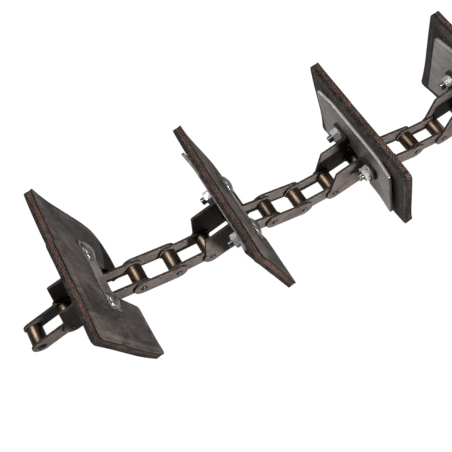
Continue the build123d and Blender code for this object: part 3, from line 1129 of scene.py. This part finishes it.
backing_size = (BACKING_HALF, BACKING_BOTTOM, BACKING_TOP)
backing = plate(
    divided(flight_outline(*backing_size, (3, 3, 3, 3), BACKING_NOTCH), 4.0),
    [circle(BOLT_HOLE, *at) for at in BOLTS],
    BACKING,
    BACKING_RIM,
    inner=grid_inside(*backing_size, 6.0, BACKING_NOTCH),
    smooth_faces=True,
)
backing = ends_back(facing(backing, FLANGE_FACE))
for link in FLIGHTS:
    part = painted_light_and_grease(backing, link)
    make_piece("sheared_plate", part, link, backing_steel, "backing_plate")
print(f"a backing plate has {len(backing['faces'])} faces")

# %% [markdown]
# ## Rubber pads
#
# The pad is cut from belting with a knife, so its edges waver, its corners are cut round by
# eye and its plies stand back a little from the covers. Each flight came from another piece
# of belting: in the upper two the plies lie further forward.

# %% Sizes of the pads, in mm
PAD, PAD_RIM = 9.0, 0.5
PAD_HALF, PAD_TOP, PAD_BOTTOM, PAD_NOTCH = 76.5, 90.0, -41.5, 17.5
WIDE_HOLE = 6.0
# how much further forward the plies lie in each flight's belting
PLY_SHIFT = {1: 0.0, 5: 0.0, 9: 0.8, 13: 0.8}
# how far each flight's four free corners stray, forward, to the far side and up:
# near low, far low, near high, far high
STRAY = {
    1: ((2.2, 1.3, 0), (-3, 0, 5), (-1, 0, 0), (2.6, 0, 0)),
    5: ((0, 0, 0), (-2.5, -1, 0), (-0.9, 0, 0), (1.8, 0, -3.2)),
    9: ((2, 0, 3), (-3, 0, 0), (-0.6, 0, 0), (0.8, 0, 0)),
    13: ((0.9, 0, 0), (-3, 0, 0.9), (-0.8, 0, 0), (0.5, 0, 0)),
}
# and how round the corners are cut: near high, near low, far low, far high
ROUNDS = {1: (6, 5, 12, 2), 5: (6, 5, 8, 2), 9: (5, 5, 6, 3), 13: (5, 5, 6, 3)}
print(f"a pad is {2 * PAD_HALF:.0f} mm wide and {PAD_TOP - PAD_BOTTOM:.1f} mm high")

# %% [markdown]
# ### Plies, set and wear
#
# Clamped only in the middle, a pad has taken a slight set, and its free corners stray. Each
# corner of each flight has a stray of its own, which fades out towards the clamp. The load
# has rubbed the pad along its rim and low down, and the near side of the upper two is full
# of grime.

# %% The pads' cut edges and their set
WAVER = 0.35
# a pad is held still this far to each side, and between these heights
HELD_HALF, HELD_LOW, HELD_HIGH = 34, 8, 50


def ply_levels(shift):
    """Four plies as pairs of depth share and inset: each stands back most at its own rear edge."""
    backs = (np.linspace(PLIES_FROM, PLIES_TO, 5) + shift) / PAD
    levels = [(backs[0], 0.0)]
    for back, front in zip(backs[:-1], backs[1:]):
        levels += [(back + 0.02, 0.30), (front - 0.005, 0.17)]
    return levels + [(backs[-1] + 0.01, 0.0)]


def strayed(part, link):
    """Moves a pad's free corners by their strays, and lets its low and high edges waver.

    A corner's shares of width and height go from 0 by the clamp to 1 at the pad's edge. x
    moves by the stray times both shares squared, and y and z by it times both plain shares,
    but the far low corner rises by its height share alone. A corner that strays forward
    takes 0.35 of that along next to the clamp. The waver is WAVER sin(y / 7.3) sin(z / 9.1),
    both moved on by the link's number, more than 50 mm below or above z = 24."""
    x, y, z = part["points"].T
    sideways = ramp(np.abs(y), HELD_HALF, PAD_HALF)
    low, high = ramp(z, HELD_LOW, PAD_BOTTOM), ramp(z, HELD_HIGH, PAD_TOP)
    clamped_side = 0.35 * (1 - sideways**2) * (np.abs(y) > 20)
    shift = np.zeros_like(part["points"])
    for number, stray in enumerate(STRAY[link]):
        here = (low if number < 2 else high) * ((y > 0) if number % 2 else (y < 0))
        beside = sideways**2 + (clamped_side if stray[0] > 0 else 0)
        rise = 1 if number == 1 else sideways
        shift += np.stack([here**2 * beside, here * sideways, here * rise], axis=1) * stray
    waver = WAVER * np.sin(y / 7.3 + link) * np.sin(z / 9.1 + 2 * link)
    shift[:, 2] += waver * (np.abs(z - 24) > 50)
    return {**part, "points": part["points"] + shift}


def rubbed_places(part, link):
    """Marks where a pad rubs: a soft line 5.5 mm inside its rim, the rim, and low down.

    The lines are bell curves of the way to the nearest rim. On the upper flights the near
    side is marked 1, for grime."""
    x, y, z = part["points"].T
    inside = np.minimum(np.minimum(PAD_HALF - np.abs(y), z - PAD_BOTTOM), PAD_TOP - z)
    line = np.exp(-(((inside - 5.5) / 1.6) ** 2)) + 0.3 * np.exp(-((inside / 1.5) ** 2))
    wear_and_painted_light = np.clip(0.65 * line + 0.15 * ramp(z, -18, -38) ** 2, 0, 0.8)
    near_side = (link in UPPER_FLIGHTS) & (y < 0.8 - PAD_HALF)
    return {**part, "wear_and_painted_light": np.where(near_side, 1.0, wear_and_painted_light)}


# %% Rubber pads
pad_rear = FLANGE_FACE + BACKING
pad_size = (PAD_HALF, PAD_BOTTOM, PAD_TOP)
wide_holes = [circle(WIDE_HOLE, *at) for at in BOLTS]
pad_grid = grid_inside(*pad_size, 3.6, PAD_NOTCH)
# the low corners are cut round, so the grid keeps clear of them
clear = (np.abs(pad_grid[:, 0]) < PAD_HALF - 6) | (pad_grid[:, 1] > PAD_BOTTOM + 8)
for link in FLIGHTS:
    outline = divided(flight_outline(*pad_size, ROUNDS[link], PAD_NOTCH), 3.0)
    levels = ply_levels(PLY_SHIFT[link])
    pad = plate(outline, wide_holes, PAD, PAD_RIM, levels, pad_grid[clear], smooth_faces=True)
    pad["edge"][:, 1] -= PLY_SHIFT[link]
    pad = strayed(rubbed_places(facing(pad, pad_rear), link), link)
    make_piece("belting_pad", pad, link, belting, "rubber_pad")
print(f"a pad has {len(pad['faces'])} faces")

# %% [markdown]
# ## Clamp strips
#
# A narrow strip of flat bar lies under the bolt heads and spreads their grip over the rubber.
# Its ends are sawn square, so its outline is a plain rectangle with its corners just broken.

# %% Clamp strips
STRIP, STRIP_HALF, STRIP_HEIGHT = 2.0, 38.0, 20.0
STRIP_ROUND, STRIP_RIM = 0.8, 0.35
strip_rear = pad_rear + PAD
strip_front = strip_rear + STRIP
strip_low, strip_top = BOLT_HEIGHT - STRIP_HEIGHT / 2, BOLT_HEIGHT + STRIP_HEIGHT / 2
corners = [(-STRIP_HALF, strip_low), (STRIP_HALF, strip_low)]
corners += [(STRIP_HALF, strip_top), (-STRIP_HALF, strip_top)]
bar = divided(rounded_path(corners, STRIP_ROUND, 5), 6.0)
strip = facing(plate(bar, wide_holes, STRIP, STRIP_RIM), strip_rear)
for link in FLIGHTS:
    make_piece("flat_bar", strip, link, strip_steel, "clamp_strip")
print(f"a strip lies {strip_rear:.1f} to {strip_front:.1f} mm ahead of its joint")

# %% [markdown]
# ## Bolts
#
# A cup-head bolt has a low dome. Its profile is a circle's arc with a short rim. The screw
# thread is a real helix: the radius rises and falls along the shank, and the phase turns once
# with every turn round the axis.

# %% Bolts
HEAD_RADIUS, HEAD_HEIGHT, HEAD_RIM, HEAD_CORNER = 10.25, 4.6, 1.0, 0.3
BOLT_RADIUS, BOLT_LENGTH, TIP_RADIUS, TIP = 4.0, 30.0, 3.6, 0.4
THREAD, THREAD_DEPTH, THREAD_ROOT = 1.25, 0.68, 3.65
WASHER_RADIUS, WASHER = 8.0, 1.6
nut_face = FLANGE_FACE - THICKNESS - WASHER
bolt_end = strip_front - BOLT_LENGTH
# the thread runs from just behind the tip to a little past the nut
thread_from, thread_to = bolt_end + 2 * TIP, nut_face + 6
dome_height = HEAD_HEIGHT - HEAD_RIM
dome_radius = HEAD_RADIUS**2 / (2 * dome_height) + dome_height / 2


def along_x(part):
    """Lays a part turned about Y along X instead."""
    x, y, z = part["points"].T
    return {**part, "points": np.stack([y, z, x], axis=1)}


def bolt_profile():
    """From the tip up: a flat end, the shank with eight rings to a thread, the rim, and the dome.

    The dome's height is that of a ball: peak - radius + square root of (radius^2 - r^2)."""
    tip = [[0, bolt_end], [TIP_RADIUS - 0.5, bolt_end], [TIP_RADIUS, bolt_end + TIP]]
    places = np.arange(thread_from, thread_to + 1, THREAD / 8)
    shank = np.column_stack([np.full(len(places), BOLT_RADIUS), places])
    rim = [[BOLT_RADIUS, strip_front], [HEAD_RADIUS - HEAD_CORNER, strip_front]]
    rim += [[HEAD_RADIUS, strip_front + HEAD_CORNER]]
    r = np.linspace(0, HEAD_RADIUS, 22)
    peak = strip_front + HEAD_HEIGHT
    dome = np.column_stack([r, peak - dome_radius + np.sqrt(dome_radius**2 - r**2)])
    return np.concatenate([tip, shank, rim, dome[::-1]])


def threaded(r, y, a):
    """Cuts the thread: r falls by a triangle wave of height / pitch - angle / full turn."""
    phase = (y / THREAD - a / (2 * np.pi)) % 1
    on_thread = (y > thread_from) & (y < thread_to)
    return r - THREAD_DEPTH * np.abs(2 * phase - 1) * on_thread, y + 0 * a


bolt = along_x(turned(bolt_profile(), 48, cut_by=threaded))
reach, radius = bolt["points"][:, 0], bolt["edge"][:, 1]
bolt = with_cut(bolt, (radius < THREAD_ROOT) & (reach > thread_from) & (reach < thread_to))
bolts = join([moved(bolt, (0, *at)) for at in BOLTS])
for link in FLIGHTS:
    make_piece("cup_bolts", bolts, link, zinc, "bolts")
print(f"the dome is part of a ball of {dome_radius:.1f} mm radius")

# %% [markdown]
# ## Nuts and washers
#
# A nut is turned as well, and its radius is then cut down to the nearest of six flats: half
# the width over cos(angle from the middle of the flat). Where the turned cone of the
# chamfer lies further in than the flat, the cone stays, which draws the curved edges that a
# real nut has. Every nut is left at another angle.

# %% Nuts and washers
FLATS, NUT_HEIGHT, NUT_BORE, BORE_MOUTH = 13.0, 6.5, 4.02, 4.6
CHAMFER_IN, CHAMFER_DOWN, MOUTH_DOWN = 0.55, 0.62, 0.55
# how far each flight's two nuts have been turned, in radians
NUT_TURNS = {1: (0.2, 0.9), 5: (0.6, 0.1), 9: (0.35, 0.75), 13: (0.0, 0.5)}
corner_radius = FLATS / np.sqrt(3)


def nut_profile():
    """A closed profile: up the outside with a chamfer at each end, and down the bore."""
    face, chamfer = FLATS / 2 - 0.1, corner_radius - CHAMFER_IN
    cone = [(face, 0.0), (chamfer, 0.12), (corner_radius, CHAMFER_DOWN)]
    cone += [(r, NUT_HEIGHT - y) for r, y in cone[::-1]]
    bore = [(BORE_MOUTH, NUT_HEIGHT), (NUT_BORE, NUT_HEIGHT - MOUTH_DOWN)]
    bore += [(NUT_BORE, MOUTH_DOWN), (BORE_MOUTH, 0.0)]
    return np.array(cone + bore) + [0, nut_face - NUT_HEIGHT]


def six_sided(r, y, a):
    """Cuts six flats: outside the bore, r can't pass FLATS / 2 / cos(angle from its flat)."""
    flat = FLATS / 2 / np.cos((a + np.pi / 6) % (np.pi / 3) - np.pi / 6)
    return np.where(r > FLATS / 2 - 0.6, np.minimum(r, flat), r), y + 0 * a


nut = turned(nut_profile(), 72, closed=True, cut_by=six_sided)
nut["smooth"][:] = False
washer = ring(BOLT_RADIUS + 0.25, WASHER_RADIUS, nut_face, nut_face + WASHER, 0.3, 48)
fastener = with_cut(along_x(join([nut, washer])), 0)
for link in FLIGHTS:
    pair = [moved(fastener, (0, *at), turn) for at, turn in zip(BOLTS, NUT_TURNS[link])]
    make_piece("hex_nuts", join(pair), link, new_zinc, "nuts")
print(f"a nut is {2 * corner_radius:.1f} mm across its corners")

# %% [markdown]
# ## The table
#
# The chain lies on a plain white table. The table's brightness is its own: a glow that only
# the camera sees, with a little left for mirror rays, so that its base colour can stay dark
# and the shadows between the plates stay deep.

# %% Table
TABLE_REACH = 6.0
middle = (cad_box[0] + cad_box[1]) / 2
square = np.array([(-1, -1, 0), (1, -1, 0), (1, 1, 0), (-1, 1, 0)]) * TABLE_REACH
square = square + [middle.x, middle.y, cad_box[0].z]
table_mesh = bpy.data.meshes.new("table_top")
table_mesh.from_pydata(square.tolist(), [], [(0, 1, 2, 3)])
table_top = bpy.data.objects.new("table_top", table_mesh)
bpy.context.scene.collection.objects.link(table_top)

table = Finish("table_white", Roughness=0.9, Specular_IOR_Level=0.0)
table.join((0.06, 0.06, 0.06, 1), table.shader.inputs["Base Color"])
rays = table.add("ShaderNodeLightPath").outputs
seen = table.maths("MAXIMUM", rays["Is Camera Ray"], rays["Is Transmission Ray"])
glow = table.sum(table.times(seen, 0.985), table.times(rays["Is Glossy Ray"], 0.3))
table.join((1, 1, 1, 1), table.shader.inputs["Emission Color"])
table.join(glow, table.shader.inputs["Emission Strength"])
table_mesh.materials.append(table.material)
print(f"the table lies at {cad_box[0].z / MM:.2f} mm")

# %% [markdown]
# ## Sky
#
# A white sky for the camera carries the background on past the table's edge. The sky that
# lights the chain is another one, dim, and brightest low down. Light Path's camera ray says
# which of the two a ray meets.

# %% Sky
world = bpy.data.worlds.new("studio")
bpy.context.scene.world = world
world.use_nodes = True
tree = world.node_tree
direction = tree.nodes.new("ShaderNodeTexCoord").outputs["Generated"]
height = tree.nodes.new("ShaderNodeSeparateXYZ")
tree.links.new(direction, height.inputs[0])
ramp_node = tree.nodes.new("ShaderNodeValToRGB")
tree.links.new(height.outputs[2], ramp_node.inputs[0])
below, above = ramp_node.color_ramp.elements
below.position, below.color = 0.25, (0.8, 0.8, 0.8, 1)
above.position, above.color = 0.65, (0.16, 0.16, 0.165, 1)
dim, white = tree.nodes["Background"], tree.nodes.new("ShaderNodeBackground")
tree.links.new(ramp_node.outputs[0], dim.inputs["Color"])
dim.inputs["Strength"].default_value = 0.035
white.inputs["Color"].default_value = (1, 1, 1, 1)
either = tree.nodes.new("ShaderNodeMixShader")
camera_ray = tree.nodes.new("ShaderNodeLightPath").outputs["Is Camera Ray"]
tree.links.new(camera_ray, either.inputs[0])
tree.links.new(dim.outputs[0], either.inputs[1])
tree.links.new(white.outputs[0], either.inputs[2])
tree.links.new(either.outputs[0], tree.nodes["World Output"].inputs["Surface"])
print(f"the sky has {len(tree.nodes)} nodes")

# %% [markdown]
# ## Lamps
#
# The main lamp is small and low, at the front right. It strikes the near faces of the plates
# and throws the shadow of each pad over the wing behind it. A softbox above and behind the
# left end draws the soft line along every roller, and a weak lamp far to the right opens up
# the front faces of the pads.


# %% Lamps
def soft_lamp(name, place, size, power):
    """A square area lamp at a place, facing the chain's middle."""
    lamp = bpy.data.lights.new(name, "AREA")
    lamp.shape, lamp.size, lamp.energy = "SQUARE", size, power
    holder = bpy.data.objects.new(name, lamp)
    bpy.context.scene.collection.objects.link(holder)
    holder.location = place
    holder.rotation_mode = "QUATERNION"
    holder.rotation_quaternion = (middle - Vector(place)).to_track_quat("-Z", "Y")
    print(f"{name}: {power} W from {(middle - Vector(place)).length:.2f} m")


soft_lamp("key", (0.36, -0.53, 0.34), 0.06, 5.2)
soft_lamp("softbox", (-0.27, 0.42, 0.9), 0.35, 11.0)
soft_lamp("front", (1.7, 0.1, 0.7), 0.5, 8.0)

# %% [markdown]
# ## Camera
#
# The camera looks down on the chain from above its near, free end. Its three directions and
# its place are the columns of its matrix. A Blender camera looks along its own -Z, so the
# third column is forward with its sign changed.

# %% Camera
camera_data = bpy.data.cameras.new("camera")
camera = bpy.data.objects.new("camera", camera_data)
bpy.context.scene.collection.objects.link(camera)
bpy.context.scene.camera = camera
camera_data.sensor_width, camera_data.lens = 36.0, 47.843
camera_data.clip_start, camera_data.clip_end = 0.01, 50.0
right = Vector((0.867068, -0.497797, 0.019802))
up = Vector((0.43063, 0.768876, 0.472639))
forward = Vector((0.250503, 0.401283, -0.881034))
camera.matrix_world = Matrix(
    [
        (right.x, up.x, -forward.x, 0.058059),
        (right.y, up.y, -forward.y, -0.241437),
        (right.z, up.z, -forward.z, 0.564043),
        (0, 0, 0, 1),
    ]
)
bpy.context.scene.view_settings.view_transform = "Standard"
print(f"the lens is {camera_data.lens:.1f} mm on a {camera_data.sensor_width:.0f} mm sensor")

# %% The packed size
print("packed", [tuple(round(v, 4) for v in c) for c in cad_box])
